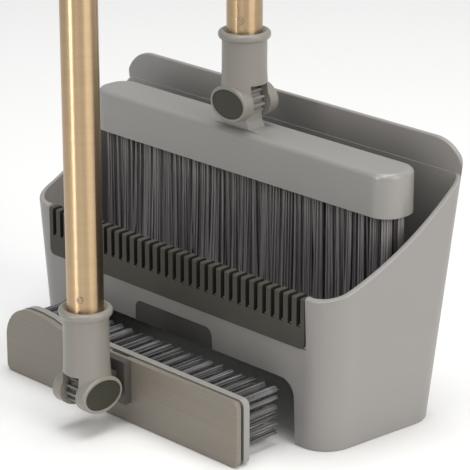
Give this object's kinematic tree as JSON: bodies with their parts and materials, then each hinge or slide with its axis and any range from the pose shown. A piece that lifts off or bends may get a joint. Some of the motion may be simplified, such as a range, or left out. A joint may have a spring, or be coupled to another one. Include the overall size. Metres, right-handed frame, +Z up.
{
  "type": "dust pan and brush set",
  "caption": "Upright dust pan with a comb lip, a broom standing in its bin and a scrubbing brush docked in front, both on swivelling poles.",
  "frame": {"origin": "on the floor, under the middle of the set's overall box at rest", "axes": "+Z up along the poles, X along the width of the pan, -Y out of the pan's open front"},
  "size_m": [0.3302, 0.2108, 1.008],
  "materials": {
    "pan_plastic": "satin warm grey",
    "comb_rubber": "matt dark olive grey",
    "inlay_plastic": "matt near black",
    "head_plastic": "satin grey",
    "block_plastic": "matt dark grey",
    "bristle_filament": "streaky dark grey filament",
    "tuft_filament": "stiff grey filament",
    "face_plastic": "fine brushed satin grey",
    "core_plastic": "matt dark",
    "socket_plastic": "satin warm grey",
    "joint_plastic": "satin dark grey",
    "badge_plastic": "satin dark olive",
    "champagne_steel": "brushed champagne gold",
    "coupler_plastic": "satin warm grey",
    "plain_steel": "plain"
  },
  "bodies": {
    "dust_pan": {"pan_shell": "pan_plastic", "pan_comb": "comb_rubber", "dock_inlay": "inlay_plastic"},
    "broom_head": {"broom_cover": "head_plastic", "broom_block": "block_plastic", "broom_bristles": "bristle_filament", "broom_knuckle": "head_plastic"},
    "broom_pole": {"broom_socket": "socket_plastic", "broom_badge_front": "badge_plastic", "broom_badge_back": "badge_plastic", "broom_pin": "plain_steel", "broom_tube_lower": "champagne_steel", "broom_coupler_lower": "coupler_plastic", "broom_tube_middle": "champagne_steel", "broom_coupler_middle": "coupler_plastic", "broom_tube_upper": "champagne_steel", "broom_end_cap": "coupler_plastic", "broom_rivet": "plain_steel"},
    "broom_catch": {"broom_button": "plain_steel"},
    "scrub_head": {"scrub_face": "face_plastic", "scrub_core": "core_plastic", "scrub_frame": "head_plastic", "scrub_tufts": "tuft_filament", "scrub_knuckle": "joint_plastic"},
    "scrub_pole": {"scrub_socket": "socket_plastic", "scrub_badge_front": "badge_plastic", "scrub_badge_back": "badge_plastic", "scrub_pin": "plain_steel", "scrub_tube_lower": "champagne_steel", "scrub_coupler_lower": "coupler_plastic", "scrub_tube_middle": "champagne_steel", "scrub_coupler_middle": "coupler_plastic", "scrub_tube_upper": "champagne_steel", "scrub_end_cap": "coupler_plastic", "scrub_rivet": "plain_steel"},
    "scrub_catch": {"scrub_button": "plain_steel"}
  },
  "joints": [
    {"name": "broom_lift", "type": "slide", "parent": "dust_pan", "child": "broom_head", "axis": [0, 0, 1], "range_m": [0, 0.18]},
    {"name": "broom_swivel", "type": "hinge", "parent": "broom_head", "child": "broom_pole", "pos_m": [0, 0.0619, 0.2015], "axis": [0, 1, 0], "range_deg": [-90, 90]},
    {"name": "broom_press", "type": "slide", "parent": "broom_pole", "child": "broom_catch", "axis": [-0.5446, 0.8387, 0], "range_m": [0, 0.0012], "stiffness_N_per_m": 800},
    {"name": "scrub_dock", "type": "slide", "parent": "dust_pan", "child": "scrub_head", "axis": [0, 1, 0], "range_m": [-0.15, 0.038]},
    {"name": "scrub_tilt", "type": "hinge", "parent": "scrub_head", "child": "scrub_pole", "pos_m": [0, -0.0871, 0.029], "axis": [1, 0, 0], "range_deg": [-3, 90]},
    {"name": "scrub_press", "type": "slide", "parent": "scrub_pole", "child": "scrub_catch", "axis": [-0.5446, 0.8387, 0], "range_m": [0, 0.0012], "stiffness_N_per_m": 800}
  ]
}
